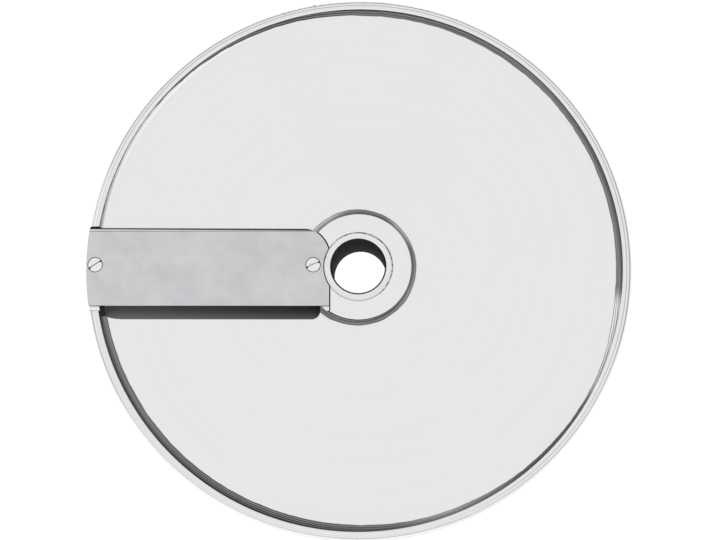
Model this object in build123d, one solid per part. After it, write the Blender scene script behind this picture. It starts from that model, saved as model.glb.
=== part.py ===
from build123d import *
import math
import os

# A slicing disc for a vegetable cutter. Sizes are in millimetres and angles in degrees.
# The bore's axis is Z and the hub's foot stands on Z = 0. The blade lies along -X,
# with its cutting edge towards -Y, so the disc turns anticlockwise seen from above.

# Disc casting
disc_diameter = 205.0
plate_thickness = 5.0
slice_thickness = 2.5  # step from the plate up to the rim, the boss and the blade
cove_radius = 2.1  # hollow round at the foot of that step
edge_break = 0.3  # chamfer along the top of that step
step_upright = 0.1  # upright wall left between the cove and the chamfer
rim_width = 3.5  # from the step to the disc's edge
rim_land_width = 1.35  # flat top of the rim
rim_step_drop = 0.3  # turned step outside the flat top
rim_top_chamfer = 1.0
rim_bottom_chamfer = 2.0
boss_diameter = 40.0

# Hub below the plate
hub_height = 30.5  # from the hub's foot to the top of the boss
hub_foot_diameter = 34.0
hub_draft = 2.0  # casting draft of the hub's side
hub_root_flare = 5.0  # cone where the hub meets the plate
hub_foot_chamfer = 1.0
drive_notch_width = 6.2  # two notches in the foot, outside the bush
drive_notch_depth = 8.0

# Steel bush in the hub
bore_diameter = 20.0
bush_wall = 2.8
bush_stand = 0.5  # height of the bush above the boss
bore_chamfer = 0.4
bush_chamfer = 0.3

# Blade
blade_width = 29.6
blade_thickness = 1.5
blade_inner_end = 10.4  # distance of the blade's straight inner end from the axis
blade_corner_radius = 9.7
bush_clearance = 0.25  # between the blade's hollow and the bush
cutting_bevel_width = 4.5
cutting_edge_land = 0.08  # thickness left at the cutting edge
back_strip_width = 1.1  # narrow strip along the back edge, ground a little lower
back_strip_drop = 0.07
back_chamfer = 0.55  # steep chamfer on the outer side of that strip

# Seat of the blade in the rim and the boss
seat_gap = 0.5  # beside the blade's back edge and inner end
seat_front_gap = 2.0  # in front of the cutting edge

# Slot that the slices leave by
slot_mouth = 4.9  # from the cutting edge forward to the slot's front lip
slot_depth_back = 7.7  # from the cutting edge back to the slot's rear wall
slot_ramp_angle = 40.0  # slope of the front wall, from the plate's plane
slot_end_inset = 3.9  # the slot stops this far outside the blade's inner end
slot_rim_gap = 0.3  # between the slot and the cove of the rim
slot_corner_radius = 3.2
slot_outer_corner_radius = 7.5

# Slotted countersunk screws
screw_diameter = 3.0
screw_head_diameter = 5.6
screw_length = 5.0  # over the head
screw_tip_chamfer = 0.4
screw_sink = 0.08  # depth of the head below the blade's face
screw_slot_width = 0.7
screw_slot_depth = 0.75
screw_line = 0.7  # Y of both screws
outer_screw_inset = 3.35  # from the disc's edge
inner_screw_inset = 6.6  # from the blade's inner end
outer_screw_turn = 33.0
inner_screw_turn = 24.0
thread_clearance = 0.05
shank_clearance = 0.2  # hole in the blade below the head
tap_mouth_chamfer = 0.4
tap_tip_room = 0.8  # tapped hole below the screw's tip

# Overlap of cutting bodies past the faces that they cut
past = 1.0

# Radii, heights and places that follow from the sizes above
disc_radius = disc_diameter / 2
rim_wall_radius = disc_radius - rim_width
rim_step_radius = rim_wall_radius + edge_break + rim_land_width
boss_radius = boss_diameter / 2
top_height = hub_height
plate_height = top_height - slice_thickness
underside_height = plate_height - plate_thickness
cove = min(cove_radius, slice_thickness - edge_break - step_upright)
bore_radius = bore_diameter / 2
bush_radius = bore_radius + bush_wall
bush_height = top_height + bush_stand
hub_foot_radius = hub_foot_diameter / 2
hub_root_radius = hub_foot_radius + underside_height * math.tan(math.radians(hub_draft))
blade_back_y = blade_width / 2
blade_front_y = -blade_width / 2
seat_floor_height = top_height - blade_thickness
slot_front_y = blade_front_y - slot_mouth
slot_rear_y = blade_front_y + slot_depth_back
slot_inner_x = -(blade_inner_end + slot_end_inset)
slot_outer_radius = rim_wall_radius - cove - slot_rim_gap
screw_radius = screw_diameter / 2
screw_head_radius = screw_head_diameter / 2
screw_top_height = top_height - screw_sink
screw_places = [
    (-(disc_radius - outer_screw_inset), outer_screw_turn),
    (-(blade_inner_end + inner_screw_inset), inner_screw_turn),
]


def corner(section, x, y):
    """The corner of a flat section that lies nearest to a point."""
    return section.vertices().sort_by_distance((x, y, 0))[0]


def span(x_low, x_high, y_low, y_high):
    """A flat rectangle between two values of X and two of Y."""
    width = x_high - x_low
    depth = y_high - y_low
    return Pos((x_low + x_high) / 2, (y_low + y_high) / 2) * Rectangle(width, depth)


def raised(outline, low, high):
    """A straight prism on a flat outline, between two heights."""
    return Pos(0, 0, low) * extrude(outline, high - low)


def along_x(section, x_low, x_high):
    """A bar along X on a section drawn with Y and Z as its two directions."""
    return Pos(x_low, 0, 0) * extrude(Plane.YZ * section, x_high - x_low)


def casting_section():
    """Half of the casting's section, drawn as radius and height."""
    shelf_height = top_height - rim_step_drop
    section = make_face(
        Polyline(
            (bush_radius, 0),
            (hub_foot_radius, 0),
            (hub_root_radius, underside_height),
            (disc_radius, underside_height),
            (disc_radius, shelf_height),
            (rim_step_radius, shelf_height),
            (rim_step_radius, top_height),
            (rim_wall_radius, top_height),
            (rim_wall_radius, plate_height),
            (boss_radius, plate_height),
            (boss_radius, top_height),
            (bush_radius, top_height),
            close=True,
        )
    )
    section = fillet(corner(section, rim_wall_radius, plate_height), cove)
    section = fillet(corner(section, boss_radius, plate_height), cove)
    section = chamfer(corner(section, rim_wall_radius, top_height), edge_break)
    section = chamfer(corner(section, boss_radius, top_height), edge_break)
    section = chamfer(corner(section, disc_radius, shelf_height), rim_top_chamfer)
    section = chamfer(corner(section, disc_radius, underside_height), rim_bottom_chamfer)
    section = chamfer(corner(section, hub_root_radius, underside_height), hub_root_flare)
    return chamfer(corner(section, hub_foot_radius, 0), hub_foot_chamfer)


def blade_seat():
    """The step milled across the rim and into the boss, open to the disc's edge."""
    inner_x = -(blade_inner_end - seat_gap)
    back_y = blade_back_y + seat_gap
    outline = span(-disc_radius - past, inner_x, blade_front_y - seat_front_gap, back_y)
    outline = fillet(corner(outline, inner_x, back_y), blade_corner_radius + seat_gap)
    return raised(outline, seat_floor_height, top_height + past)


def slice_slot():
    """The slot through the plate under the cutting edge, with its front wall slanted back."""
    outline = span(-disc_radius, slot_inner_x, slot_front_y, slot_rear_y)
    outline = outline & Circle(slot_outer_radius)
    front_outer_x = -math.sqrt(slot_outer_radius**2 - slot_front_y**2)
    rear_outer_x = -math.sqrt(slot_outer_radius**2 - slot_rear_y**2)
    outline = fillet(corner(outline, front_outer_x, slot_front_y), slot_outer_corner_radius)
    outline = fillet(corner(outline, rear_outer_x, slot_rear_y), slot_corner_radius)
    outline = fillet(corner(outline, slot_inner_x, slot_front_y), slot_corner_radius)
    outline = fillet(corner(outline, slot_inner_x, slot_rear_y), slot_corner_radius)
    low = underside_height - hub_root_flare
    shaft = raised(outline, low, top_height + past)
    ramp_run = (plate_height - low) / math.tan(math.radians(slot_ramp_angle))
    passage = make_face(
        Polyline(
            (slot_front_y, top_height + past),
            (slot_front_y, plate_height),
            (slot_front_y + ramp_run, low),
            (slot_rear_y, low),
            (slot_rear_y, top_height + past),
            close=True,
        )
    )
    return shaft & along_x(passage, -disc_radius, slot_inner_x + past)


def drive_notches():
    """A bar across the hub's foot, which cuts the two notches for the drive plate's lugs."""
    reach = hub_root_radius + hub_root_flare
    half_width = drive_notch_width / 2
    outline = span(-reach, reach, -half_width, half_width)
    return raised(outline, -past, drive_notch_depth)


def tapped_hole(x):
    """A hole for one screw, from above the seat's floor to below the screw's tip."""
    bottom = screw_top_height - screw_length - tap_tip_room
    radius = screw_radius + thread_clearance
    mouth = radius + tap_mouth_chamfer
    section = make_face(
        Polyline(
            (0, bottom),
            (radius, bottom),
            (radius, seat_floor_height - tap_mouth_chamfer),
            (mouth, seat_floor_height),
            (mouth, top_height + past),
            (0, top_height + past),
            close=True,
        )
    )
    return Pos(x, screw_line, 0) * revolve(Plane.XZ * section, Axis.Z)


def make_disc_body():
    """The turned casting with the seat, the slot, the notches and the tapped holes cut into it."""
    body = revolve(Plane.XZ * casting_section(), Axis.Z)
    body = body - blade_seat() - slice_slot() - drive_notches()
    for x, _ in screw_places:
        body = body - tapped_hole(x)
    return body


def make_hub_bush():
    """The bush: a plain tube with broken edges, as long as the hub and a little more."""
    section = make_face(
        Polyline(
            (bore_radius, 0),
            (bush_radius, 0),
            (bush_radius, bush_height),
            (bore_radius, bush_height),
            close=True,
        )
    )
    section = chamfer(corner(section, bore_radius, 0), bore_chamfer)
    section = chamfer(corner(section, bore_radius, bush_height), bore_chamfer)
    section = chamfer(corner(section, bush_radius, bush_height), bush_chamfer)
    return revolve(Plane.XZ * section, Axis.Z)


def screw_hole(x):
    """The blade's countersunk hole for one screw."""
    radius = screw_radius + shank_clearance
    mouth = screw_head_radius + screw_sink
    cone_bottom = top_height - (mouth - radius)
    section = make_face(
        Polyline(
            (0, seat_floor_height - past),
            (radius, seat_floor_height - past),
            (radius, cone_bottom),
            (mouth, top_height),
            (mouth, top_height + past),
            (0, top_height + past),
            close=True,
        )
    )
    return Pos(x, screw_line, 0) * revolve(Plane.XZ * section, Axis.Z)


def make_slicing_blade():
    """The blade: hollowed round the bush, ground thin from below along its front edge."""
    inner_x = -blade_inner_end
    outline = span(-disc_radius, inner_x, blade_front_y, blade_back_y)
    outline = fillet(corner(outline, inner_x, blade_back_y), blade_corner_radius)
    outline = outline & Circle(disc_radius)
    outline = outline - Circle(bush_radius + bush_clearance)
    blade = raised(outline, seat_floor_height, top_height)
    cutting_bevel = make_face(
        Polyline(
            (blade_front_y - past, seat_floor_height - past),
            (blade_front_y - past, top_height - cutting_edge_land),
            (blade_front_y, top_height - cutting_edge_land),
            (blade_front_y + cutting_bevel_width, seat_floor_height),
            (blade_front_y + cutting_bevel_width, seat_floor_height - past),
            close=True,
        )
    )
    chamfer_y = blade_back_y - back_chamfer
    chamfer_height = top_height - back_strip_drop
    back_grind = make_face(
        Polyline(
            (blade_back_y - back_strip_width, top_height),
            (chamfer_y, chamfer_height),
            (blade_back_y, chamfer_height - back_chamfer),
            (blade_back_y + past, chamfer_height - back_chamfer),
            (blade_back_y + past, top_height + past),
            (blade_back_y - back_strip_width, top_height + past),
            close=True,
        )
    )
    for bevel in (cutting_bevel, back_grind):
        blade = blade - along_x(bevel, -disc_radius - past, 0)
    for x, _ in screw_places:
        blade = blade - screw_hole(x)
    return blade


def make_blade_screw(x, turn):
    """One countersunk screw: a flat head with a driver slot, and a plain shank."""
    neck_height = screw_top_height - (screw_head_radius - screw_radius)
    tip_height = screw_top_height - screw_length
    section = make_face(
        Polyline(
            (0, tip_height),
            (screw_radius - screw_tip_chamfer, tip_height),
            (screw_radius, tip_height + screw_tip_chamfer),
            (screw_radius, neck_height),
            (screw_head_radius, screw_top_height),
            (0, screw_top_height),
            close=True,
        )
    )
    screw = revolve(Plane.XZ * section, Axis.Z)
    half_width = screw_slot_width / 2
    slot = span(-screw_head_diameter, screw_head_diameter, -half_width, half_width)
    screw = screw - raised(slot, screw_top_height - screw_slot_depth, screw_top_height + past)
    return Pos(x, screw_line, 0) * Rot(0, 0, turn) * screw


nodes = {
    "disc_body": make_disc_body(),
    "hub_bush": make_hub_bush(),
    "slicing_blade": make_slicing_blade(),
    "blade_screws": Compound([make_blade_screw(x, turn) for x, turn in screw_places]),
}

os.makedirs("parts", exist_ok=True)
for name, shape in nodes.items():
    export_step(shape, f"parts/{name}.step")
    print(name, len(shape.solids()), "solids,", round(shape.volume), "mm3")
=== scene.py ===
# %% [markdown]
# # A slicing disc for a vegetable cutter
# The real disc is an aluminium casting that was turned bright on a lathe. A steel bush is
# pressed into its hub, and a flat steel blade is let into its rim and its boss and held down
# by two slotted screws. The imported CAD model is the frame: it says where everything is. Each
# piece is modelled again here with finer rounds and a real surface, in the place of its node.

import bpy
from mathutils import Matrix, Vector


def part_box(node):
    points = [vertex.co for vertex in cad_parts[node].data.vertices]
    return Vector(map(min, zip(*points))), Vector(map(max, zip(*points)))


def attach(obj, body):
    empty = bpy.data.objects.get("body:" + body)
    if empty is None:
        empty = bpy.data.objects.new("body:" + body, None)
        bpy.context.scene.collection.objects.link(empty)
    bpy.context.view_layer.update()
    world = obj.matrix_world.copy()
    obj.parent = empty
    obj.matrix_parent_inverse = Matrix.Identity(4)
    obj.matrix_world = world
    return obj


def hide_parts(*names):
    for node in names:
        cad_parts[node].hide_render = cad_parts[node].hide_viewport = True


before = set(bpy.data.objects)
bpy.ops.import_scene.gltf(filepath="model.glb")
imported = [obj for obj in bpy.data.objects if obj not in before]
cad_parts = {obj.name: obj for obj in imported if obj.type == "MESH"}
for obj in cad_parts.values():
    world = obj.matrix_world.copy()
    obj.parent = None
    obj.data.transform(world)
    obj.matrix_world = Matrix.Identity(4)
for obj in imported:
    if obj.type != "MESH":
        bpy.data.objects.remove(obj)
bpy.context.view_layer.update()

# %% Blender's modules
import math
from functools import partial

import bmesh
import bpy
from mathutils import Matrix, Vector

print("Blender", bpy.app.version_string)

# %% [markdown]
# ## Sizes
# A box round a CAD node already tells most sizes: how wide the disc is, how high the bush
# stands, how far the blade reaches. Reading them keeps the pieces and the frame together.
# Only what a box can't tell, such as a round or a step, is written as a value in millimetres.

# %% Places read from the frame
MM = 0.001
disc_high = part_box("disc_body")[1]
bush_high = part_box("hub_bush")[1]
blade_low, blade_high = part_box("slicing_blade")
screws_low, screws_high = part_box("blade_screws")
disc_radius = disc_high.x
rim_top = disc_high.z
bush_radius = bush_high.x
seat_floor = blade_low.z
print("disc radius", round(disc_radius / MM, 2), "mm, rim top at", round(rim_top / MM, 2), "mm")

# %% Sizes of the casting
plate_top = rim_top - 2.5 * MM
plate_bottom = plate_top - 5.0 * MM
rim_wall_radius = disc_radius - 3.5 * MM
rim_step_radius = rim_wall_radius + 1.65 * MM
rim_shelf = rim_top - 0.3 * MM
rim_top_chamfer = 1.0 * MM
rim_bottom_chamfer = 2.0 * MM
boss_radius = 20.0 * MM
hub_foot_radius = 17.0 * MM
hub_draft = math.radians(2.0)
hub_root_radius = hub_foot_radius + plate_bottom * math.tan(hub_draft)
hub_root_flare = 5.0 * MM
cove_size = 2.1 * MM
PAST = 1.0 * MM  # how far a cutter reaches past the face that it cuts
TINY = 0.001 * MM  # distance under which two points are one
NEAR = 0.02 * MM  # distance within which an edge is found at a point that was worked out
LEVEL = 0.99  # upright share of a normal, above which a face is level
print("plate from", round(plate_bottom / MM, 2), "to", round(plate_top / MM, 2), "mm")

# %% [markdown]
# ## Selecting by place
# By hand you click on a corner or an edge. In a script you say where it is, so these helpers
# go through the mesh in edit mode and select what passes a test. Everything else is
# deselected first, because an operator acts on all that is selected.


# %% Helpers that select
def select_only(piece):
    """Makes one piece the only selected object, and the active one."""
    bpy.ops.object.select_all(action="DESELECT")
    piece.select_set(True)
    bpy.context.view_layer.objects.active = piece


def open_for_edit(piece):
    """Goes into edit mode on one piece alone."""
    select_only(piece)
    bpy.ops.object.mode_set(mode="EDIT")


def pick(piece, kind, test):
    """Selects the vertices, edges or faces that pass a test, and returns how many did."""
    mode = {"verts": "VERT", "edges": "EDGE", "faces": "FACE"}[kind]
    bpy.ops.mesh.select_mode(type=mode)
    bpy.ops.mesh.select_all(action="DESELECT")
    mesh = bmesh.from_edit_mesh(piece.data)
    chosen = [element for element in getattr(mesh, kind) if test(element)]
    for element in chosen:
        element.select_set(True)
    mesh.select_flush_mode()
    bmesh.update_edit_mesh(piece.data)
    return len(chosen)


def close_edit(piece):
    """Merges doubled points, turns the faces outwards and leaves edit mode."""
    bpy.ops.mesh.select_mode(type="VERT")
    bpy.ops.mesh.select_all(action="SELECT")
    bpy.ops.mesh.remove_doubles(threshold=TINY)
    bpy.ops.mesh.normals_make_consistent(inside=False)
    bpy.ops.object.mode_set(mode="OBJECT")
    print(piece.name, "has", len(piece.data.polygons), "faces")


# %% [markdown]
# ## The casting, turned like on a lathe
# The disc, the bush and the screws are all round about an axis, so each starts as half of its
# section. A plane is shrunk to one point, the point is extruded from corner to corner, and the
# last point is joined to the first. Bevelling a single corner of that wire makes a round or a
# cove before there are any faces. Then spin does what a lathe does. A cylinder with loops would
# also work, but here every radius and height stays where you can read it.


# %% Helpers that draw a section and spin it
def draw_section(name, corners):
    """A closed wire through corners given as radius and height, in the XZ plane."""
    bpy.ops.mesh.primitive_plane_add(size=MM, location=(0, 0, 0))
    section = bpy.context.object
    section.name = name
    bpy.ops.object.mode_set(mode="EDIT")
    bpy.ops.mesh.select_mode(type="VERT")
    bpy.ops.mesh.select_all(action="SELECT")
    bpy.ops.mesh.merge(type="CENTER")
    points = [Vector((radius, 0, height)) for radius, height in corners]
    bpy.ops.transform.translate(value=points[0])
    for here, there in zip(points, points[1:]):
        bpy.ops.mesh.extrude_region_move(TRANSFORM_OT_translate={"value": there - here})
    ends = (points[0], points[-1])
    pick(section, "verts", lambda v: min((v.co - end).length for end in ends) < TINY)
    bpy.ops.mesh.edge_face_add()
    return section


def round_corner(section, radius, height, size, segments, shape=0.5):
    """Bevels one corner of the wire. A shape of 0.5 is an arc and 0.25 a straight chamfer."""
    corner = Vector((radius, 0, height))
    pick(section, "verts", lambda v: (v.co - corner).length < TINY)
    bpy.ops.mesh.bevel(offset=size, segments=segments, profile=shape, affect="VERTICES")


def spin_section(section, steps):
    """Turns the wire once round the Z axis."""
    bpy.ops.mesh.select_all(action="SELECT")
    bpy.ops.mesh.spin(steps=steps, angle=math.tau, center=(0, 0, 0), axis=(0, 0, 1))
    close_edit(section)


# %% Draw the casting's half section
disc = draw_section(
    "turned_disc",
    [
        (bush_radius, 0),
        (hub_foot_radius, 0),
        (hub_root_radius, plate_bottom),
        (disc_radius, plate_bottom),
        (disc_radius, rim_shelf),
        (rim_step_radius, rim_shelf),
        (rim_step_radius, rim_top),
        (rim_wall_radius, rim_top),
        (rim_wall_radius, plate_top),
        (boss_radius, plate_top),
        (boss_radius, rim_top),
        (bush_radius, rim_top),
    ],
)
print("corners drawn:", len(bmesh.from_edit_mesh(disc.data).verts))

# %% Round its corners
SOFT_CHAMFER = 0.33  # between a straight chamfer and an arc
joint_chamfer = 0.3 * MM
wall_top_round = 0.3 * MM
step_top_round = 0.08 * MM
step_foot_round = 0.1 * MM
hub_foot_round = 1.0 * MM
for height, size, segments in ((plate_top, cove_size, 10), (rim_top, wall_top_round, 3)):
    for wall_radius in (rim_wall_radius, boss_radius):
        round_corner(disc, wall_radius, height, size, segments)
round_corner(disc, rim_step_radius, rim_top, step_top_round, 2)
round_corner(disc, rim_step_radius, rim_shelf, step_foot_round, 2)
round_corner(disc, disc_radius, rim_shelf, rim_top_chamfer, 5, SOFT_CHAMFER)
round_corner(disc, disc_radius, plate_bottom, rim_bottom_chamfer, 6, SOFT_CHAMFER)
round_corner(disc, hub_root_radius, plate_bottom, hub_root_flare, 6, SOFT_CHAMFER)
round_corner(disc, hub_foot_radius, 0, hub_foot_round, 4, SOFT_CHAMFER)
for joint_end in (rim_top, 0):
    round_corner(disc, bush_radius, joint_end, joint_chamfer, 1)
print("corners after rounding:", len(bmesh.from_edit_mesh(disc.data).verts))

# %% Spin it
LATHE_STEPS = 360
spin_section(disc, LATHE_STEPS)

# %% [markdown]
# ## Cutting the casting
# After turning, the real disc goes to a milling machine: a seat is cut across the rim and into
# the boss for the blade, a slanted slot goes through the plate under the cutting edge, and two
# holes are tapped for the screws. A cutter is a shape that is taken away with a Boolean
# modifier, so each cut below is one cutter, shaped first and then used up.


# %% Helpers that make a cutter and use it
def add_block(name, low, high):
    """A box between two corners, with its place in its mesh."""
    low, high = Vector(low), Vector(high)
    bpy.ops.mesh.primitive_cube_add(size=1, location=(low + high) / 2, scale=high - low)
    bpy.ops.object.transform_apply()
    bpy.context.object.name = name
    return bpy.context.object


def add_rod(name, centre, radius, low, high, sides):
    """An upright round bar about a point of the XY plane, with its place in its mesh."""
    place = (centre[0], centre[1], (low + high) / 2)
    bpy.ops.mesh.primitive_cylinder_add(
        vertices=sides, radius=radius, depth=high - low, location=place
    )
    bpy.ops.object.transform_apply()
    bpy.context.object.name = name
    return bpy.context.object


def use_cutter(piece, cutter, operation="DIFFERENCE"):
    """Applies a Boolean of the cutter to the piece, and removes the cutter."""
    modifier = piece.modifiers.new("cut", "BOOLEAN")
    modifier.object = cutter
    modifier.operation = operation
    modifier.solver = "EXACT"
    select_only(piece)
    bpy.ops.object.modifier_apply(modifier=modifier.name)
    print(cutter.name, "used on", piece.name, "which has", len(piece.data.polygons), "faces")
    bpy.data.objects.remove(cutter)


def grind(piece, point, normal):
    """Cuts away what lies beyond a plane, in edit mode, and closes the cut with one face."""
    bpy.ops.mesh.select_all(action="SELECT")
    bpy.ops.mesh.bisect(plane_co=point, plane_no=normal, clear_outer=True, threshold=TINY)
    pick(piece, "edges", lambda edge: edge.is_boundary)
    bpy.ops.mesh.edge_face_add()


def upright_edge(x, y):
    """A test for the edges that stand upright at one point of the XY plane."""
    point = Vector((x, y))
    return lambda edge: all((v.co.xy - point).length < NEAR for v in edge.verts)


# %% Cut the blade's seat
seat_gap = 0.5 * MM
blade_inner_x = blade_high.x - 0.5 * MM  # the photo shows the end short of the solid's
seat_inner_x = blade_inner_x + seat_gap
seat_back_y = blade_high.y + seat_gap
seat_front_y = blade_low.y - 2.0 * MM
blade_corner = 11.0 * MM
seat = add_block(
    "seat_cutter",
    (-disc_radius - PAST, seat_front_y, seat_floor),
    (seat_inner_x, seat_back_y, rim_top + PAST),
)
open_for_edit(seat)
pick(seat, "edges", upright_edge(seat_inner_x, seat_back_y))
bpy.ops.mesh.bevel(offset=blade_corner + seat_gap, segments=24, affect="EDGES")
close_edit(seat)
use_cutter(disc, seat)

# %% Shape the cutter of the slice slot
slot_front_y = blade_low.y - 4.9 * MM
slot_rear_y = blade_low.y + 7.7 * MM
slot_inner_x = blade_high.x - 3.9 * MM
slot_outer_radius = rim_wall_radius - cove_size - 0.3 * MM
slot_low = plate_bottom - hub_root_flare
slot = add_block(
    "slot_cutter",
    (-disc_radius, slot_front_y, slot_low),
    (slot_inner_x, slot_rear_y, rim_top + PAST),
)
reach = add_rod(
    "slot_reach", (0, 0), slot_outer_radius, slot_low - PAST, rim_top + 2 * PAST, LATHE_STEPS
)
use_cutter(slot, reach, "INTERSECT")

# %% Round the slot's corners and slant its front wall
slot_ramp = math.radians(40.0)
slot_lip = 0.12 * MM  # upright edge above the slant
slot_outer_front_x = -math.sqrt(slot_outer_radius**2 - slot_front_y**2)
slot_outer_rear_x = -math.sqrt(slot_outer_radius**2 - slot_rear_y**2)
open_for_edit(slot)
for x, y, size in (
    (slot_outer_front_x, slot_front_y, 6.6 * MM),
    (slot_outer_rear_x, slot_rear_y, 3.0 * MM),
    (slot_inner_x, slot_front_y, 3.2 * MM),
    (slot_inner_x, slot_rear_y, 3.2 * MM),
):
    found = pick(slot, "edges", upright_edge(x, y))
    bpy.ops.mesh.bevel(offset=size, segments=8, affect="EDGES", clamp_overlap=False)
    print("rounded", found, "edge of the slot")
lip_foot = (0, slot_front_y, plate_top - slot_lip)
grind(slot, lip_foot, (0, -math.sin(slot_ramp), -math.cos(slot_ramp)))
close_edit(slot)
use_cutter(disc, slot)

# %% Cut the drive notches and the screws' holes
screw_head_radius = (screws_high.y - screws_low.y) / 2
screw_y = (screws_low.y + screws_high.y) / 2
screw_xs = (screws_low.x + screw_head_radius, screws_high.x - screw_head_radius)
notch_half_width = 3.1 * MM
notch_depth = 8.0 * MM
notch_reach = hub_root_radius + hub_root_flare
tap_radius = 1.55 * MM
tap_spare = 0.8 * MM  # depth left below the screw's tip
notches = add_block(
    "notch_cutter",
    (-notch_reach, -notch_half_width, -PAST),
    (notch_reach, notch_half_width, notch_depth),
)
use_cutter(disc, notches)
for x in screw_xs:
    hole = add_rod("tap", (x, screw_y), tap_radius, screws_low.z - tap_spare, rim_top, 48)
    use_cutter(disc, hole)

# %% [markdown]
# ## Knocks on the rim
# A disc like this is stacked and dropped, and its rim shows it. Three short nicks run across
# the outer half of the rim, each a hair wide. They could be painted, but a cut also catches
# the light from the side, so one small block is turned to three places and taken away.

# %% Nick the rim
nick_half_width = 0.16 * MM
nick_depth = 0.14 * MM
nick_reach = 2.0 * MM
nick_end = 0.3 * MM  # left whole at the disc's edge
for compass in (34.0, 17.0, 119.0):
    nick = add_block(
        "nick",
        (disc_radius - nick_reach, -nick_half_width, rim_shelf - nick_depth),
        (disc_radius - nick_end, nick_half_width, rim_top + PAST),
    )
    nick.rotation_euler.z = math.radians(compass)
    bpy.ops.object.transform_apply()
    use_cutter(disc, nick)

# %% [markdown]
# ## Strips of the seat
# The blade covers its seat, apart from a strip in front of the cutting edge that stays bright.
# In the narrow gaps behind and beside the blade, and in the strip's front corner, shade is
# painted dark. Three bisect cuts split the seat's floor without changing its shape, so that its
# parts can have finishes of their own.


# %% Split the seat's floor
def on_seat_floor(face):
    return abs(face.calc_center_median().z - seat_floor) < TINY and face.normal.z > LEVEL


seat_corner_y = seat_front_y + 0.3 * MM
open_for_edit(disc)
for point, normal in (
    ((0, blade_low.y, 0), (0, 1, 0)),
    ((0, seat_corner_y, 0), (0, 1, 0)),
    ((blade_inner_x, 0, 0), (1, 0, 0)),
):
    found = pick(disc, "faces", on_seat_floor)
    bpy.ops.mesh.bisect(plane_co=point, plane_no=normal, threshold=TINY)
    print("faces of the seat's floor:", found, "then", pick(disc, "faces", on_seat_floor))
close_edit(disc)

# %% [markdown]
# ## The bush
# A tube of steel with broken edges, turned from bar and pressed into the hub until it stands
# half a millimetre proud. It could be a cylinder with a hole, but it is drawn and spun like the
# casting, because its rounded edges are then part of the section.

# %% Turn the bush
bore_radius = 10.0 * MM
bore_chamfer = 0.6 * MM
bush_round = 0.3 * MM
bush_foot_chamfer = 0.2 * MM
bush_top = bush_high.z
bush = draw_section(
    "bore_bush",
    [
        (bore_radius, 0),
        (bush_radius, 0),
        (bush_radius, bush_top),
        (bore_radius, bush_top),
    ],
)
round_corner(bush, bush_radius, bush_top, bush_round, 3)
for bore_end in (bush_top, 0):
    round_corner(bush, bore_radius, bore_end, bore_chamfer, 4)
round_corner(bush, bush_radius, 0, bush_foot_chamfer, 1)
spin_section(bush, LATHE_STEPS)

# %% [markdown]
# ## The blade
# A strip of hardened stainless steel, one and a half millimetres thick. A box of its size is
# trimmed the way a toolmaker would: one corner is rounded, the outer end is ground to the
# disc's edge and the inner end hollowed round the bush. Slanting bisect cuts then grind the
# long cutting bevel from below, and along the back a shallow strip and a steep chamfer, which
# grows a little wider towards the boss.

# %% Trim the blade's outline
bush_clearance = 0.35 * MM
blade_end = (blade_inner_x, blade_high.y, blade_high.z)
blade = add_block("slicing_knife", (-disc_radius, blade_low.y, blade_low.z), blade_end)
open_for_edit(blade)
pick(blade, "edges", upright_edge(blade_inner_x, blade_high.y))
bpy.ops.mesh.bevel(offset=blade_corner, segments=40, affect="EDGES")
close_edit(blade)
rod_low, rod_high = seat_floor - PAST, rim_top + PAST
rim_rod = add_rod("rim_rod", (0, 0), disc_radius, rod_low, rod_high, LATHE_STEPS)
use_cutter(blade, rim_rod, "INTERSECT")
hollow_radius = bush_radius + bush_clearance
bush_rod = add_rod("bush_rod", (0, 0), hollow_radius, rod_low, rod_high, LATHE_STEPS)
use_cutter(blade, bush_rod)

# %% Grind its bevels
blade_thickness = blade_high.z - blade_low.z
cutting_bevel_width = 4.5 * MM
cutting_edge_land = 0.08 * MM
strip_inner_y = blade_high.y - 1.45 * MM
strip_outer_y = blade_high.y - 0.55 * MM
strip_drop = 0.07 * MM
strip_slope = strip_drop / (strip_outer_y - strip_inner_y)
line_half_width = 0.07 * MM  # fine line where the strip begins
back_taper = 0.0035  # the back was ground by hand and runs in towards the boss
open_for_edit(blade)
grind(blade, (blade_low.x, blade_high.y, 0), (back_taper, 1, 0))
grind(
    blade,
    (0, blade_low.y + cutting_bevel_width, blade_low.z),
    (0, cutting_edge_land - blade_thickness, -cutting_bevel_width),
)
grind(blade, (0, strip_inner_y, blade_high.z), (0, strip_slope, 1))
grind(blade, (0, strip_inner_y - line_half_width, blade_high.z), (0, strip_slope / 2, 1))
grind(blade, (blade_low.x, strip_outer_y, blade_high.z - strip_drop), (2 * back_taper, 1, 1))
close_edit(blade)

# %% Countersink it for the screws
SCREW_STEPS = 64
screw_radius = 1.5 * MM
screw_top = screws_high.z
hole_radius = screw_radius + 0.2 * MM
mouth_radius = screw_head_radius + 0.08 * MM
for x in screw_xs:
    countersink = draw_section(
        "countersink",
        [
            (0, seat_floor - PAST),
            (hole_radius, seat_floor - PAST),
            (hole_radius, rim_top - (mouth_radius - hole_radius)),
            (mouth_radius + PAST, rim_top + PAST),
            (0, rim_top + PAST),
        ],
    )
    spin_section(countersink, SCREW_STEPS)
    countersink.location = (x, screw_y, 0)
    bpy.ops.object.transform_apply()
    use_cutter(blade, countersink)

# %% [markdown]
# ## The screws
# Two slotted countersunk screws, turned from bright steel. The first is spun from its half
# section, with a groove for each turn of the thread, and slotted with a saw-thin block. A real
# thread climbs, but it is hidden in its hole, so rings do. The second screw will be a copy with
# its own mesh, once the first has its finishes.

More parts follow.
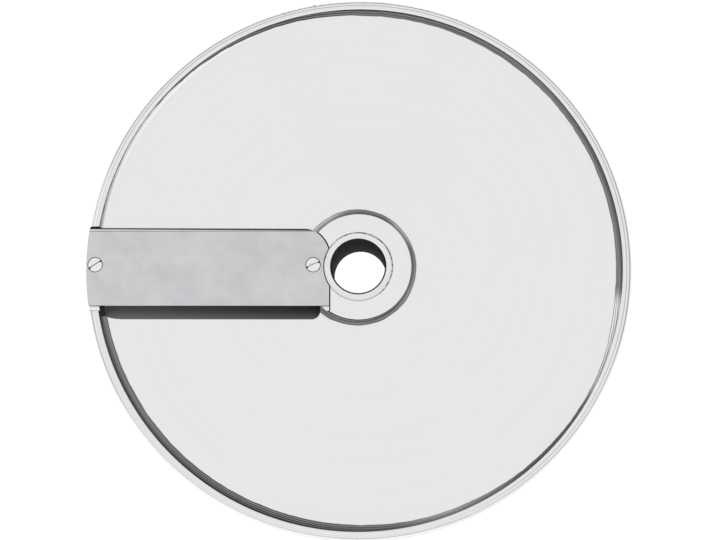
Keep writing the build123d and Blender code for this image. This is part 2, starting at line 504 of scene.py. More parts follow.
# %% Turn one screw
screw_tip = screws_low.z - screw_top
screw_neck = screw_radius - screw_head_radius
thread_pitch = 0.5 * MM
thread_depth = 0.28 * MM
thread_start = 0.5 * MM
tip_inset, tip_height = 0.4 * MM, 0.3 * MM
head_round = 0.2 * MM
thread_turns = int((screw_neck - screw_tip) / thread_pitch) - 1
thread = []
for turn in range(thread_turns):
    root = screw_tip + thread_start + turn * thread_pitch
    thread.append((screw_radius - thread_depth, root))
    thread.append((screw_radius, root + thread_pitch / 2))
screw = draw_section(
    "outer_screw",
    [
        (0, screw_tip),
        (screw_radius - tip_inset, screw_tip),
        (screw_radius, screw_tip + tip_height),
        *thread,
        (screw_radius, screw_neck),
        (screw_head_radius, 0),
        (0, 0),
    ],
)
round_corner(screw, screw_head_radius, 0, head_round, 3)
spin_section(screw, SCREW_STEPS)
print("turns of the thread:", thread_turns)

# %% Slot it
screw_slot_depth = 0.75 * MM
screw_slot_half_width = 0.35 * MM
saw_reach = 3.0 * MM
saw = add_block(
    "slot_saw",
    (-saw_reach, -screw_slot_half_width, -screw_slot_depth),
    (saw_reach, screw_slot_half_width, PAST),
)
use_cutter(screw, saw)

# %% [markdown]
# ## Smooth shading
# Spun surfaces are made of flat facets. Smoothing by angle blends the facets of a round and
# keeps a real edge sharp. The blade is ground flat and has only slow rounds, so its limit is
# smaller than that of the others.

# %% Shade the pieces
for piece, sharp_angle in ((disc, 25.0), (bush, 25.0), (blade, 2.8), (screw, 25.0)):
    select_only(piece)
    bpy.ops.object.shade_smooth_by_angle(angle=math.radians(sharp_angle))
    print("shaded", piece.name)

# %% [markdown]
# ## Materials
# A material is a small net of nodes. One helper sets and links a node's inputs and one adds a
# node, and one function turns the hex colours that you read on a screen into the linear ones
# that a renderer works with. Most finishes here are two colours, a roughness and a relief that
# follow a pattern, so a last helper feeds these to the shader. All patterns are measured on
# Object coordinates, in metres, so their scale is a real size and they stay where they are when
# the camera moves.


# %% Helpers for nodes
def linear(hex_colour):
    """A colour such as #e6e6e6 as linear red, green and blue, with full opacity."""
    shares = [int(hex_colour[i : i + 2], 16) / 255 for i in (1, 3, 5)]
    return [s / 12.92 if s <= 0.04045 else ((s + 0.055) / 1.055) ** 2.4 for s in shares] + [1.0]


def connect(tree, node, inputs):
    """Sets inputs, found by name or number, to values or hex colours, or links them."""
    sockets = {socket.name: socket for socket in reversed(node.inputs.values()) if socket.enabled}
    sockets.update(enumerate(node.inputs))
    for key, value in inputs.items():
        if isinstance(value, bpy.types.Node):
            value = next(output for output in value.outputs if output.enabled)
        if isinstance(value, bpy.types.NodeSocket):
            tree.links.new(value, sockets[key])
        else:
            sockets[key].default_value = linear(value) if isinstance(value, str) else value


def add_node(tree, kind, inputs, **settings):
    """A new node with its settings made and its inputs set or linked."""
    node = tree.nodes.new("ShaderNode" + kind)
    for name, value in settings.items():
        setattr(node, name, value)
    connect(tree, node, inputs)
    return node


# %% Helpers that start and finish a material
def new_material(name):
    """A material, what adds a node to it, and the place of a point on its piece, in metres."""
    material = bpy.data.materials.new(name)
    material.use_nodes = True
    add = partial(add_node, material.node_tree)
    return material, add, add("TexCoord", {}).outputs["Object"]


def finish_material(material, inputs):
    """Feeds the material's one shader."""
    tree = material.node_tree
    connect(tree, tree.nodes["Principled BSDF"], inputs)
    print(material.name, "has", len(tree.nodes), "nodes")


METAL = {"Metallic": 1.0}  # what all bare metals share


def finish_surface(material, fixed, colour, roughness=None, relief=None):
    """Feeds the shader from patterns, and sets as they are the inputs that are fixed.

    Colour is a pattern with the colours at its two ends, roughness a pattern with the values
    at its two ends, and relief a pattern with its height in metres.
    """
    add = partial(add_node, material.node_tree)
    inputs = dict(fixed)
    tone, first, last = colour
    inputs["Base Color"] = add("Mix", {"Factor": tone, "A": first, "B": last}, data_type="RGBA")
    if roughness:
        pattern, smooth, rough = roughness
        inputs["Roughness"] = add("MapRange", {"Value": pattern, "To Min": smooth, "To Max": rough})
    if relief:
        pattern, height = relief
        inputs["Normal"] = add("Bump", {"Height": pattern, "Strength": 0.5, "Distance": height})
    finish_material(material, inputs)


# %% [markdown]
# ## Patterns
# Two patterns do for all the metal here. Patches are soft noise of a chosen size in each
# direction, so a long thin size gives the scratches of a grinding belt. Bent round the axis,
# the same noise gives the rings that a lathe tool leaves. Rings and scratches are drawn a few
# times wider than real ones, which would be finer than a pixel.


# %% Helpers for patterns
def patches(add, place, sizes, detail=2.0):
    """Soft noise from 0 to 1, with patches of about the given size along each axis."""
    shrunk = add("VectorMath", {0: place, 1: sizes}, operation="DIVIDE")
    noise = add("TexNoise", {"Vector": shrunk, "Scale": 1.0, "Detail": detail})
    usual_low, usual_high = 0.3, 0.7  # the noise seldom leaves this range
    return add("MapRange", {"Value": noise, "From Min": usual_low, "From Max": usual_high})


def round_axis(add, place):
    """The place as distance from the Z axis, turn round it in radians, and height."""
    flat = add("VectorMath", {0: place, 1: (1, 1, 0)}, operation="MULTIPLY")
    radius = add("VectorMath", {0: flat}, operation="LENGTH")
    x, y, height = add("SeparateXYZ", {"Vector": place}).outputs
    turn = add("Math", {0: y, 1: x}, operation="ARCTAN2")
    return add("CombineXYZ", {"X": radius, "Y": turn, "Z": height})


# %% [markdown]
# ## Turned aluminium with painted shade in its coves
# The plate is turned bright. Where it curves up into the rim and the boss, a dark band is
# painted in as shade: it stands for the dim horizon that the coves mirror, and where it reaches
# past the cove onto the plate, for the rim's shadow. The band has a sharp border with two dark
# lines along it and paler streaks inside. It could be painted by hand as an image, but measured
# from its border it stays sharp at any distance. Round the rim it reaches down to different
# depths, and in places it is left out, where a bright lamp would be mirrored: a ramp by
# direction holds all that.

# %% Clean plate
# Bright turned aluminium: almost white under a soft sky, with faint rings when seen closely.
plate_metal, add, place = new_material("turned_aluminium_plate")
plate_lathe = round_axis(add, place)
plate_rings = patches(add, plate_lathe, (0.8 * MM, 1.0, 0.8 * MM), 3.0)  # real ones 0.15 mm
plate_clouds = patches(add, place, [30 * MM] * 3)
clean_plate = add("Mix", {"Factor": plate_rings, "A": "#ececec", "B": "#eeeeee"}, data_type="RGBA")
_, turn, height = add("SeparateXYZ", {"Vector": plate_lathe}).outputs
print("clean plate takes", len(plate_metal.node_tree.nodes), "nodes")

# %% The painted shade by degrees from +X
# Reach of the painted shade down the rim's cove, how much is left at the rim and at the boss,
# darkness of its lines.
cove_shade_by_degrees = {
    -180: (1.0, 1.0, 1.0, 0.3),
    -140: (1.0, 1.0, 1.0, 0.5),
    -125: (1.0, 1.0, 1.0, 1.0),
    -105: (1.0, 1.0, 1.0, 1.0),
    -82: (0.8, 1.0, 1.0, 0.6),
    -70: (0.73, 0.65, 1.0, 0.5),
    -50: (0.54, 1.0, 1.0, 0.8),
    -30: (0.41, 1.0, 0.9, 0.6),
    -26: (0.45, 0.0, 0.85, 0.6),
    -8: (0.93, 0.0, 0.85, 0.3),
    -5: (0.96, 1.0, 0.85, 0.3),
    20: (0.92, 1.0, 0.9, 0.35),
    34: (0.9, 1.0, 0.4, 0.3),
    48: (0.9, 1.0, 0.45, 0.3),
    60: (0.92, 1.0, 0.9, 0.4),
    88: (0.95, 1.0, 0.95, 0.8),
    104: (0.7, 1.0, 0.85, 1.0),
    120: (0.55, 1.0, 0.35, 0.75),
    145: (0.27, 1.0, 0.5, 0.3),
    180: (0.235, 1.0, 1.0, 0.3),
}
share_of_turn = add("MapRange", {"Value": turn, "From Min": -math.pi, "From Max": math.pi})
cove_shade_ramp = add("ValToRGB", {"Fac": share_of_turn})
stops = cove_shade_ramp.color_ramp.elements
while len(stops) < len(cove_shade_by_degrees):
    stops.new(0.5)
for stop, (degrees, shares) in zip(stops, cove_shade_by_degrees.items()):
    stop.position = (degrees + 180) / 360
    stop.color = shares
rim_shade_reach, rim_shade_left, boss_shade_left = add("SeparateColor", {"Color": cove_shade_ramp}).outputs
rim_line_share = cove_shade_ramp.outputs["Alpha"]
boss_line_share = 0.75
print("stops of the stain's ramp:", len(stops))

# %% Depth inside the painted shade's border, at the rim and at the boss
flat_place = add("VectorMath", {0: place, 1: (1, 1, 0)}, operation="MULTIPLY")
rim_centre = (0.05 * MM, 0.4 * MM, 0)  # the borders aren't quite round the axis
boss_centre = (-0.35 * MM, 0.1 * MM, 0)
from_rim_centre = add("VectorMath", {0: flat_place, 1: rim_centre}, operation="DISTANCE")
from_boss_centre = add("VectorMath", {0: flat_place, 1: boss_centre}, operation="DISTANCE")
rim_border = add(
    "MapRange",
    {
        "Value": rim_shade_reach,
        "To Min": rim_wall_radius + 0.4 * MM,
        "To Max": rim_wall_radius - 2.65 * MM,
    },
)
boss_border = boss_radius + 2.2 * MM
rim_depth = add("Math", {0: from_rim_centre, 1: rim_border}, operation="SUBTRACT")
boss_depth = add("Math", {0: boss_border, 1: from_boss_centre}, operation="SUBTRACT")
print("the boss's stain reaches out to", round(boss_border / MM, 2), "mm")

# %% Lay both painted shades over the clean metal
border_waves = patches(add, place, [5 * MM] * 3)
waviness = add("MapRange", {"Value": border_waves, "To Min": -0.12 * MM, "To Max": 0.12 * MM})
streaks = patches(add, plate_lathe, (0.45 * MM, 0.6, 0.45 * MM))
streaked_shade = add("Mix", {"Factor": streaks, "A": "#707070", "B": "#949494"}, data_type="RGBA")
below_top = add(
    "MapRange",
    {
        "Value": height,
        "From Min": rim_top - 0.25 * MM,
        "From Max": rim_top - 0.1 * MM,
        "To Min": 1.0,
        "To Max": 0.0,
    },
)
line_foot, line_core = 0.22 * MM, 0.04 * MM  # where a dark line begins and where it is full
# Painted shade over the clean plate, in the rim's cove and in the boss's cove.
plate_colour = clean_plate
cove_shade_cover = 0.0
for depth, rest, line_share, line_depth in (
    (rim_depth, rim_shade_left, rim_line_share, 0.37 * MM),
    (boss_depth, boss_shade_left, boss_line_share, 0.44 * MM),
):
    wavy = add("Math", {0: depth, 1: waviness}, operation="ADD")
    to_line = add("Math", {0: wavy, 1: line_depth}, operation="PINGPONG")
    lines = add(
        "MapRange",
        {"Value": to_line, "From Min": line_depth - line_foot, "From Max": line_depth - line_core},
    )
    dark_lines = add("Math", {0: lines, 1: line_share}, operation="MULTIPLY")
    painted_shade = add("Mix", {"Factor": dark_lines, "A": streaked_shade, "B": "#2c2c2c"}, data_type="RGBA")
    edge = add("MapRange", {"Value": wavy, "From Min": 0.0, "From Max": 0.2 * MM})
    hair_lines = add("Math", {0: lines, 1: 0.9}, operation="MULTIPLY")
    left = add("Math", {0: hair_lines, 1: rest}, operation="MAXIMUM")
    inside = add("Math", {0: edge, 1: below_top}, operation="MULTIPLY")
    cover = add("Math", {0: inside, 1: left}, operation="MULTIPLY")
    plate_colour = add("Mix", {"Factor": cover, "A": plate_colour, "B": painted_shade}, data_type="RGBA")
    cove_shade_cover = add("Math", {0: cove_shade_cover, 1: cover}, operation="MAXIMUM")
print("with its stains it takes", len(plate_metal.node_tree.nodes), "nodes")

# %% Finish the plate
plate_shine = add("MapRange", {"Value": plate_clouds, "To Min": 0.28, "To Max": 0.34})
plate_roughness = add("Math", {0: cove_shade_cover, 1: 0.1, 2: plate_shine}, operation="MULTIPLY_ADD")
plate_bump = add("Bump", {"Height": plate_rings, "Strength": 0.5, "Distance": 0.001 * MM})
finish_material(
    plate_metal,
    METAL | {"Base Color": plate_colour, "Roughness": plate_roughness, "Normal": plate_bump},
)

# %% [markdown]
# ## Polished rim and its edge
# The rim is turned again after the plate, with a finer feed, and lines are left where the tool
# stopped. They have been polished away in front of the cutting edge. Dark specks sit on the
# far side, where discs touch in a rack. Lines that repeat need no noise: a ping-pong of the
# radius gives them at an even spacing. The disc's edge below the rim is turned but not polished,
# so it stays a duller grey.

# %% Rim with its lines
# Polished aluminium: brighter and sharper than the plate, with two fine grey lines.
rim_metal, add, place = new_material("polished_aluminium_rim")
rim_lathe = round_axis(add, place)
rim_rings = patches(add, rim_lathe, (0.4 * MM, 1.0, 0.4 * MM), 3.0)  # real ones 0.08 mm
radius = add("SeparateXYZ", {"Vector": rim_lathe}).outputs["X"]
northward = add("SeparateXYZ", {"Vector": place}).outputs["Y"]
rim_line_spacing = 1.1 * MM
first_line_radius = disc_radius - 2.0 * MM
from_line = add("Math", {0: radius, 1: first_line_radius}, operation="SUBTRACT")
to_line = add("Math", {0: from_line, 1: rim_line_spacing / 2}, operation="PINGPONG")
rim_lines = add(
    "MapRange",
    {"Value": to_line, "From Min": 0.06 * MM, "From Max": 0.2 * MM, "To Min": 1.0, "To Max": 0.0},
)
LINED_SIDE = (0.5, 0.87, 0.0)  # 60 degrees round from +X
towards_lines = add("VectorMath", {0: place, 1: LINED_SIDE}, operation="DOT_PRODUCT")
kept = add("MapRange", {"Value": towards_lines, "From Min": -72 * MM, "From Max": -36 * MM})
outer_half = add("Math", {0: radius, 1: first_line_radius - 0.25 * MM}, operation="GREATER_THAN")
kept_lines = add("Math", {0: rim_lines, 1: kept}, operation="MULTIPLY")
line_share = add("Math", {0: kept_lines, 1: outer_half}, operation="MULTIPLY")
bright_rim = add("Mix", {"Factor": rim_rings, "A": "#e4e4e4", "B": "#eeeeee"}, data_type="RGBA")
lined_rim = add("Mix", {"Factor": line_share, "A": bright_rim, "B": "#b4b4b4"}, data_type="RGBA")
print("rim with its lines takes", len(rim_metal.node_tree.nodes), "nodes")

# %% Specks on the rim
speckle = patches(add, place, [1.1 * MM] * 3, 3.0)
specks = add("MapRange", {"Value": speckle, "From Min": 0.8, "From Max": 0.95})
far_side = add("MapRange", {"Value": northward, "From Min": 93 * MM, "From Max": 98 * MM})
outermost = add(
    "MapRange",
    {"Value": radius, "From Min": disc_radius - 1.6 * MM, "From Max": disc_radius - 1.2 * MM},
)
far_specks = add("Math", {0: specks, 1: far_side}, operation="MULTIPLY")
speck_share = add("Math", {0: far_specks, 1: outermost}, operation="MULTIPLY")
finish_surface(
    rim_metal,
    METAL,
    colour=(speck_share, lined_rim, "#6e6e6e"),
    roughness=(rim_rings, 0.18, 0.27),
    relief=(rim_rings, 0.003 * MM),
)

# %% Edge of the disc
# Rough-turned aluminium: a satin grey with rings that run round the edge.
edge_metal, add, place = new_material("rough_turned_aluminium_edge")
edge_rings = patches(add, round_axis(add, place), (0.35 * MM, 2.0, 0.35 * MM), 3.0)
edge_handling = patches(add, place, (9 * MM, 9 * MM, 4 * MM))
edge_tone = add("Math", {0: edge_rings, 1: edge_handling}, operation="MULTIPLY")
finish_surface(
    edge_metal,
    METAL,
    colour=(edge_tone, "#a2a3a4", "#c2c3c4"),
    roughness=(edge_handling, 0.34, 0.46),
    relief=(edge_rings, 0.02 * MM),
)

# %% [markdown]
# ## As cast, milled, and painted shade
# The underside and the hub's flank keep the dull, grainy skin of the casting. The slice slot is
# cast too, and is painted nearly black as shade, less so along its front lip and outer end,
# where light reaches. The seat is milled: bright, with straight fine marks. Shade is painted in
# the gap round the blade and in the rim's cove beside the slot, and as a broken line in the
# joint of the bush. All of these are the same few nodes with other sizes and colours.

# %% Cast skin
# Sand-cast aluminium: dull, grainy and cloudy, because it was never turned.
cast_metal, add, place = new_material("cast_aluminium_skin")
sand_grain = patches(add, place, [0.7 * MM] * 3, 3.0)
cast_clouds = patches(add, place, [14 * MM] * 3, 4.0)
finish_surface(
    cast_metal,
    METAL,
    colour=(cast_clouds, "#b0b1b2", "#bfc0c1"),
    roughness=(sand_grain, 0.42, 0.58),
    relief=(sand_grain, 0.08 * MM),
)

# %% Slot with painted shade
# Cast aluminium painted a matt charcoal as shade in the slot, paler towards the lip and the
# outer end, where more light reaches.
slot_metal, add, place = new_material("shaded_slot_aluminium")
slot_grain = patches(add, place, [0.9 * MM] * 3, 3.0)
x, _, height = add("SeparateXYZ", {"Vector": place}).outputs
near_lip = add(
    "MapRange",
    {"Value": height, "From Min": plate_top - 4.0 * MM, "From Max": plate_top, "To Max": 0.65},
)
near_rim = add("MapRange", {"Value": x, "From Min": -20 * MM, "From Max": -95 * MM, "To Max": 0.65})
less_shade = add("Math", {0: near_lip, 1: near_rim}, operation="ADD")
finish_surface(
    slot_metal,
    {"Specular IOR Level": 0.3},
    colour=(less_shade, "#434445", "#747576"),
    roughness=(slot_grain, 0.5, 0.7),
    relief=(slot_grain, 0.06 * MM),
)

# %% Milled seat
# Freshly milled aluminium: brighter than the plate, with straight marks across the blade.
seat_metal, add, place = new_material("milled_aluminium_seat")
mill_marks = patches(add, place, (0.3 * MM, 6 * MM, 6 * MM))
finish_surface(
    seat_metal,
    METAL,
    colour=(mill_marks, "#ececec", "#fafafa"),
    roughness=(mill_marks, 0.25, 0.35),
    relief=(mill_marks, 0.004 * MM),
)

# %% Painted shade for gaps
# Painted shade for gaps, corners and recesses: matt and almost black, a little patchy.
gap_shade, add, place = new_material("painted_gap_shade")
shade_patches = patches(add, place, [0.5 * MM] * 3)
finish_surface(
    gap_shade,
    {"Specular IOR Level": 0.2},
    colour=(shade_patches, "#1c1c1b", "#353533"),
    roughness=(shade_patches, 0.7, 0.9),
)

# %% Joint of the bush
# A dark joint round the bush, with painted shade of its gap that is darkest on the side at 50
# degrees from +X and broken by patches, so it reads as a broken line.
joint_metal, add, place = new_material("shaded_press_joint")
turn = add("SeparateXYZ", {"Vector": round_axis(add, place)}).outputs["Y"]
joint_breaks = patches(add, place, [1.4 * MM] * 3)
DARKEST_TURN = math.radians(50.0)
from_darkest = add("Math", {0: turn, 1: DARKEST_TURN}, operation="SUBTRACT")
shaded_side = add("Math", {0: from_darkest}, operation="COSINE")
joint_shade = add("Math", {0: shaded_side, 1: 0.4, 2: joint_breaks}, operation="MULTIPLY_ADD")
joint_share = add("MapRange", {"Value": joint_shade, "From Min": 0.35, "From Max": 1.1})
finish_surface(
    joint_metal,
    {"Roughness": 0.6, "Specular IOR Level": 0.3},
    colour=(joint_share, "#e4e4e4", "#6a6a69"),
)

# %% [markdown]
# ## Steels
# The blade is ground on a belt, which leaves a satin grey with faint lines along it and cloudy
# patches where food acids have touched it. Its back chamfer is painted dark as shade of the back
# edge. The bush is turned bright on top, and its bore is a matt near-black, with painted shade
# darkening it towards the bottom. The screws are bright bar, with shade painted in their slots
# and round their heads.

# %% Ground blade
# Belt-ground stainless steel: a cool satin grey that is darker than aluminium, a little cloudy.
blade_metal, add, place = new_material("ground_stainless_steel")
belt_lines = patches(add, place, (18 * MM, 0.22 * MM, 1 * MM), 3.0)  # real ones 0.05 mm
smudges = patches(add, place, (17 * MM, 11 * MM, 11 * MM), 3.0)
small_smudges = patches(add, place, (6 * MM, 5 * MM, 5 * MM), 4.0)
faint_lines = add("Math", {0: belt_lines, 1: 0.15}, operation="MULTIPLY")
cloudy_lines = add("Math", {0: small_smudges, 1: 0.4, 2: faint_lines}, operation="MULTIPLY_ADD")
blade_tone = add("Math", {0: smudges, 1: 0.45, 2: cloudy_lines}, operation="MULTIPLY_ADD")
finish_surface(
    blade_metal,
    METAL,
    colour=(blade_tone, "#c3c4c6", "#d8d9db"),
    roughness=(smudges, 0.3, 0.38),
    relief=(belt_lines, 0.003 * MM),
)

# %% Painted shade on the back edge
# Painted shade on the blade's back chamfer and fine line: matt, dark and patchy along the edge.
back_shade_metal, add, place = new_material("painted_back_edge_shade")
edge_patches = patches(add, place, (6 * MM, 0.5 * MM, 0.5 * MM))
finish_surface(
    back_shade_metal,
    {"Specular IOR Level": 0.3},
    colour=(edge_patches, "#2c2d2e", "#48494a"),
    roughness=(edge_patches, 0.36, 0.5),
)

# %% Turned bush
# Fine-turned steel: nearly as bright as the plate, with rings of its own.
bush_metal, add, place = new_material("turned_steel_bush")
bush_rings = patches(add, round_axis(add, place), (0.35 * MM, 1.0, 0.35 * MM), 3.0)
finish_surface(
    bush_metal,
    METAL,
    colour=(bush_rings, "#e3e3e3", "#f0f0f0"),
    roughness=(bush_rings, 0.24, 0.34),
    relief=(bush_rings, 0.004 * MM),
)

# %% Dark bore with painted shade
# Matt near-black steel that takes no mirror image, with painted shade that darkens it towards
# the bottom.
bore_metal, add, place = new_material("dark_steel_bore")
bore_rings = patches(add, round_axis(add, place), (0.5 * MM, 1.0, 0.5 * MM), 3.0)
height = add("SeparateXYZ", {"Vector": place}).outputs["Z"]
towards_mouth = add("MapRange", {"Value": height, "From Max": bush_top, "To Max": 0.8})
bore_tone = add("Math", {0: bore_rings, 1: 0.2, 2: towards_mouth}, operation="MULTIPLY_ADD")
finish_surface(
    bore_metal,
    {"Roughness": 0.75, "Specular IOR Level": 0.04},
    colour=(bore_tone, "#0a0a0b", "#2c2e2f"),
    relief=(bore_rings, 0.01 * MM),
)

# %% Bright screws
# Bright-turned steel: the palest of the steels, with a few straight marks from facing off.
screw_metal, add, place = new_material("bright_steel_screw")
facing_marks = patches(add, place, (0.25 * MM, 1.2 * MM, 1.2 * MM))
finish_surface(
    screw_metal,
    METAL,
    colour=(facing_marks, "#e2e2e2", "#f6f6f6"),
    roughness=(facing_marks, 0.2, 0.32),
    relief=(facing_marks, 0.006 * MM),
)

# %% [markdown]
# ## Which face has which finish
# Each piece takes its main metal first, and then the faces that pass a test take another one.
# A test looks at where a face is and which way it looks, so it still holds when a size changes.


# %% Helpers that assign
def give(piece, material, test=lambda face, middle: True):
    """Adds a material to a piece and assigns it to the faces that pass a test."""
    piece.data.materials.append(material)
    open_for_edit(piece)
    found = pick(piece, "faces", lambda face: test(face, face.calc_center_median()))
    piece.active_material_index = len(piece.data.materials) - 1
    bpy.ops.object.material_slot_assign()
    bpy.ops.object.mode_set(mode="OBJECT")
    print(material.name, "on", found, "faces of", piece.name)


# %% Where the casting was turned, cast and cut
edge_band = 0.1 * MM  # how near a face's middle is to the edge that it belongs to
rim_foot = plate_bottom + rim_bottom_chamfer - edge_band
# Painted shade in the gap stops this far below the rim's top, and in the cove it starts this far
# behind the slot's lip.
unshaded_gap_top = 0.2 * MM  # clean height at the top of the seat's back wall
unshaded_cove_length = 1.2 * MM  # clean length of the cove behind the slot's front lip


def on_rim(face, middle):
    return middle.xy.length > rim_wall_radius + TINY and middle.z > rim_foot


def on_edge(face, middle):
    upright = rim_foot < middle.z < rim_shelf - rim_top_chamfer
    return upright and middle.xy.length > disc_radius - edge_band


def below_plate(face, middle):
    return TINY < middle.z < rim_foot


def in_slot(face, middle):
    across = slot_front_y - TINY < middle.y < slot_rear_y + TINY
    along = -slot_outer_radius - TINY < middle.x < slot_inner_x + TINY
    upright = slot_low < middle.z < plate_top - TINY and abs(face.normal.z) < LEVEL
    return across and along and upright


# Where shade is painted in the gaps round the blade: on the seat's floor and on its back wall.
def in_blade_gap(face, middle):
    inside = middle.x < seat_inner_x + TINY and middle.y > seat_front_y - TINY
    behind_edge = blade_low.y < middle.y < seat_back_y + TINY
    beside_end = blade_inner_x < middle.x and middle.y < seat_back_y
    in_corner = seat_front_y < middle.y < seat_corner_y
    upright = abs(face.normal.z) < 0.01 and seat_floor < middle.z < rim_top - unshaded_gap_top
    on_floor = on_seat_floor(face) and (behind_edge or beside_end or in_corner)
    return inside and (on_floor or (upright and behind_edge))


def in_cove_corner(face, middle):
    """The rim's cove at the outer end of the slot, under the blade, where shade is painted."""
    in_cove = slot_outer_radius < middle.xy.length < rim_wall_radius + TINY
    beside_slot = middle.x < 0 and slot_front_y + unshaded_cove_length < middle.y < slot_rear_y
    return in_cove and beside_slot and middle.z > plate_top - TINY


def in_joint(face, middle):
    close = bush_radius < middle.xy.length < bush_radius + joint_chamfer
    return close and rim_top - joint_chamfer < middle.z < rim_top - TINY


# %% Give the casting its finishes
give(disc, plate_metal)
give(disc, rim_metal, on_rim)
give(disc, edge_metal, on_edge)
give(disc, cast_metal, below_plate)
# The slot is painted dark as shade.
give(disc, slot_metal, in_slot)
give(disc, seat_metal, lambda face, middle: on_seat_floor(face))
# Painted shade in the gaps round the blade and in the cove beside the slot.
give(disc, gap_shade, lambda *face: in_blade_gap(*face) or in_cove_corner(*face))
# A dark joint, with painted shade of its gap.
give(disc, joint_metal, in_joint)


# %% Where the steel pieces are dark
def in_bore(face, middle):
    return middle.xy.length < bore_radius + bore_chamfer


def on_bush_edge(face, middle):
    return middle.xy.length > bush_radius - bush_round and middle.z > bush_top - bush_round


def on_shaded_back(face, middle):
    """The back chamfer and the fine line beside the shallow strip."""
    steep = 0.3 < face.normal.y < 0.99 and middle.y > strip_inner_y
    in_line = abs(middle.y - strip_inner_y) < line_half_width and abs(face.normal.x) < 0.5
    return steep or (in_line and middle.z > blade_high.z - strip_drop)


def in_countersink(face, middle):
    near = min((middle.xy - Vector((x, screw_y))).length for x in screw_xs) < mouth_radius
    return near and abs(face.normal.z) < 0.9


def round_screw_head(face, middle):
    return middle.z > -head_round and middle.xy.length > screw_head_radius - head_round


def on_slot_wall(face, middle):
    return abs(face.normal.y) > 0.9 and middle.z > -screw_slot_depth


# %% Give the steel pieces their finishes
give(bush, bush_metal)
# The bush's top edge at the joint, with painted shade of the gap.
give(bush, joint_metal, on_bush_edge)
# The bore is near-black, with painted shade darkening it downwards.
give(bush, bore_metal, in_bore)
give(blade, blade_metal)
# Painted shade on the blade's back chamfer and fine line.
give(blade, back_shade_metal, on_shaded_back)
# Painted shade in the countersinks, round the screws' heads.
give(blade, gap_shade, in_countersink)
give(screw, screw_metal)
# Painted shade round the screw's head and on its slot's walls.
give(screw, gap_shade, lambda *face: round_screw_head(*face) or on_slot_wall(*face))

# %% [markdown]
# ## Two screws from one
# The finished screw is duplicated, which gives the copy its own mesh. Each is turned to the
# angle that the photographed one was left at and moved to its hole, and then its place is
# applied, so that the object itself stays at the origin.

# %% Copy the screw and put both in place
select_only(screw)
bpy.ops.object.duplicate(linked=False)
inner_screw = bpy.context.object
inner_screw.name = "inner_screw"
screw_turns = (math.radians(33.0), math.radians(24.0))
for piece, x, turn in zip((screw, inner_screw), screw_xs, screw_turns):
    select_only(piece)
    piece.location = (x, screw_y, screw_top)
    piece.rotation_euler.z = turn
    bpy.ops.object.transform_apply()
    print(piece.name, "at", [round(value / MM, 2) for value in (x, screw_y, screw_top)], "mm")

# %% [markdown]
# ## Ride on the frame
# Nothing on the disc moves against anything else, so every piece rides on the one body. Each
# piece says which CAD node it stands for, and that node is hidden.

# %% Tie pieces to nodes
for piece, node, finish in (
    (disc, "disc_body", "disc_aluminium"),
    (bush, "hub_bush", "bush_steel"),
    (blade, "slicing_blade", "blade_steel"),
    (screw, "blade_screws", "screw_steel"),
    (inner_screw, "blade_screws", "screw_steel"),
):
    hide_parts(node)
    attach(piece, "root")
    print(piece.name, "stands for", node)

# %% [markdown]
# ## Studio
# The disc lies on white paper on a light table, so the ground is white all round it. Under the
# disc the paper's glow is turned down as a painted shadow, and right under the bore it is turned
# up as a painted pool of light. The sky is a large soft box overhead that fades to a dimmer
# horizon: flat faces mirror the box and look white, and every cove and wall mirrors the dim part
# and looks grey. Three soft boxes give the walls something brighter to mirror.

# %% Floor
floor_size = 12.0
shade_core, shade_end = 55 * MM, disc_radius - 1.5 * MM  # the shade is darkest inside its core
bore_light_core, bore_light_end = 12 * MM, 17 * MM
bpy.ops.mesh.primitive_plane_add(size=floor_size, location=(0, 0, 0))
floor = bpy.context.object
floor.name = "studio_floor"
paper, add, place = new_material("white_paper_floor")
from_axis = add("VectorMath", {0: place}, operation="LENGTH")
# Painted shadow: the paper's glow drops under the disc.
glow_with_painted_shadow = add(
    "MapRange",
    {
        "Value": from_axis,
        "From Min": shade_core,
        "From Max": shade_end,
        "To Min": 0.2,
        "To Max": 0.84,
    },
    interpolation_type="SMOOTHSTEP",
)
# Painted light: the paper glows brighter right under the bore.
painted_bore_light = add(
    "MapRange",
    {
        "Value": from_axis,
        "From Min": bore_light_core,
        "From Max": bore_light_end,
        "To Min": 1.05,
        "To Max": 0.0,
    },
)
glow = add("Math", {0: glow_with_painted_shadow, 1: painted_bore_light}, operation="MAXIMUM")
fibres = patches(add, place, [3 * MM] * 3)
finish_surface(
    paper,
    {
        "Roughness": 0.9,
        "Specular IOR Level": 0.2,
        "Emission Color": "#ffffff",
        "Emission Strength": glow,
    },
    colour=(fibres, "#9a9a9a", "#a0a0a0"),
)
floor.data.materials.append(paper)

# %% Sky
world = bpy.data.worlds.new("soft_box_sky")
bpy.context.scene.world = world
world.use_nodes = True
add = partial(add_node, world.node_tree)
direction = add("TexCoord", {}).outputs["Generated"]
height = add("SeparateXYZ", {"Vector": direction}).outputs["Z"]
brightness = add(
    "MapRange",
    {"Value": height, "From Min": 0.4, "From Max": 0.85, "To Min": 0.55, "To Max": 0.95},
    interpolation_type="SMOOTHSTEP",
)
background = world.node_tree.nodes["Background"]
connect(world.node_tree, background, {"Color": "#ffffff", "Strength": brightness})
print("sky has", len(world.node_tree.nodes), "nodes")


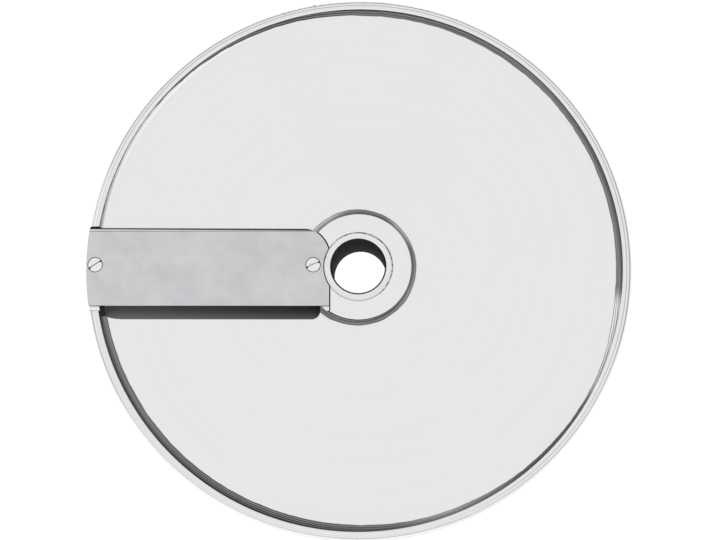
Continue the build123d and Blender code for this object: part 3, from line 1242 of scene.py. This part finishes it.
# %% Soft boxes
def add_soft_box(name, compass, elevation, width, tall, radiance):
    """A soft light that faces the disc. Compass is in degrees from +X towards +Y."""
    distance = 1.5
    turn, rise = math.radians(compass), math.radians(elevation)
    level = math.cos(rise)
    place = Vector((level * math.cos(turn), level * math.sin(turn), math.sin(rise)))
    lamp = bpy.data.lights.new(name, "AREA")
    lamp.shape = "RECTANGLE"
    lamp.size, lamp.size_y = width, tall
    lamp.energy = radiance * math.pi * width * tall
    box = bpy.data.objects.new(name, lamp)
    bpy.context.collection.objects.link(box)
    facing = place.to_track_quat("Z", "Y").to_matrix().to_4x4()
    box.matrix_world = Matrix.Translation(distance * place) @ facing
    box.visible_camera = False
    print(name, round(lamp.energy, 2), "W")


add_soft_box("narrow_soft_box", 161.0, 30.0, 0.45, 1.6, 0.6)
add_soft_box("wide_soft_box", 322.0, 30.0, 1.4, 1.6, 0.4)
add_soft_box("front_soft_box", 248.0, 12.0, 2.9, 0.6, 0.6)

# %% [markdown]
# ## Camera
# The photograph was taken from almost straight above, a little from the front and the right,
# so that the far wall of the bore can be seen, and a quarter of a degree askew. The lens follows
# from how large the disc is in the picture at that distance.

# %% Place the camera
view_distance = 0.92
view_elevation = math.radians(81.8)
view_east_of_south = math.radians(12.0)
picture_width = 716
pixels_per_metre = 2665.0
aim = Vector((-0.1 * MM, -1.3 * MM, rim_top))
camera_roll = math.radians(0.25)
towards_camera = Vector(
    (
        math.sin(view_east_of_south) * math.cos(view_elevation),
        -math.cos(view_east_of_south) * math.cos(view_elevation),
        math.sin(view_elevation),
    )
)
camera_right = Vector((0, 1, 0)).cross(towards_camera).normalized()
camera_up = towards_camera.cross(camera_right)
camera_data = bpy.data.cameras.new("camera")
camera_data.lens = pixels_per_metre * view_distance * camera_data.sensor_width / picture_width
camera = bpy.data.objects.new("camera", camera_data)
bpy.context.collection.objects.link(camera)
turned = Matrix((camera_right, camera_up, towards_camera)).transposed().to_4x4()
rolled = turned @ Matrix.Rotation(camera_roll, 4, "Z")
camera.matrix_world = Matrix.Translation(aim + view_distance * towards_camera) @ rolled
bpy.context.scene.camera = camera
bpy.context.scene.view_settings.view_transform = "Standard"
print("lens", round(camera_data.lens, 1), "mm")
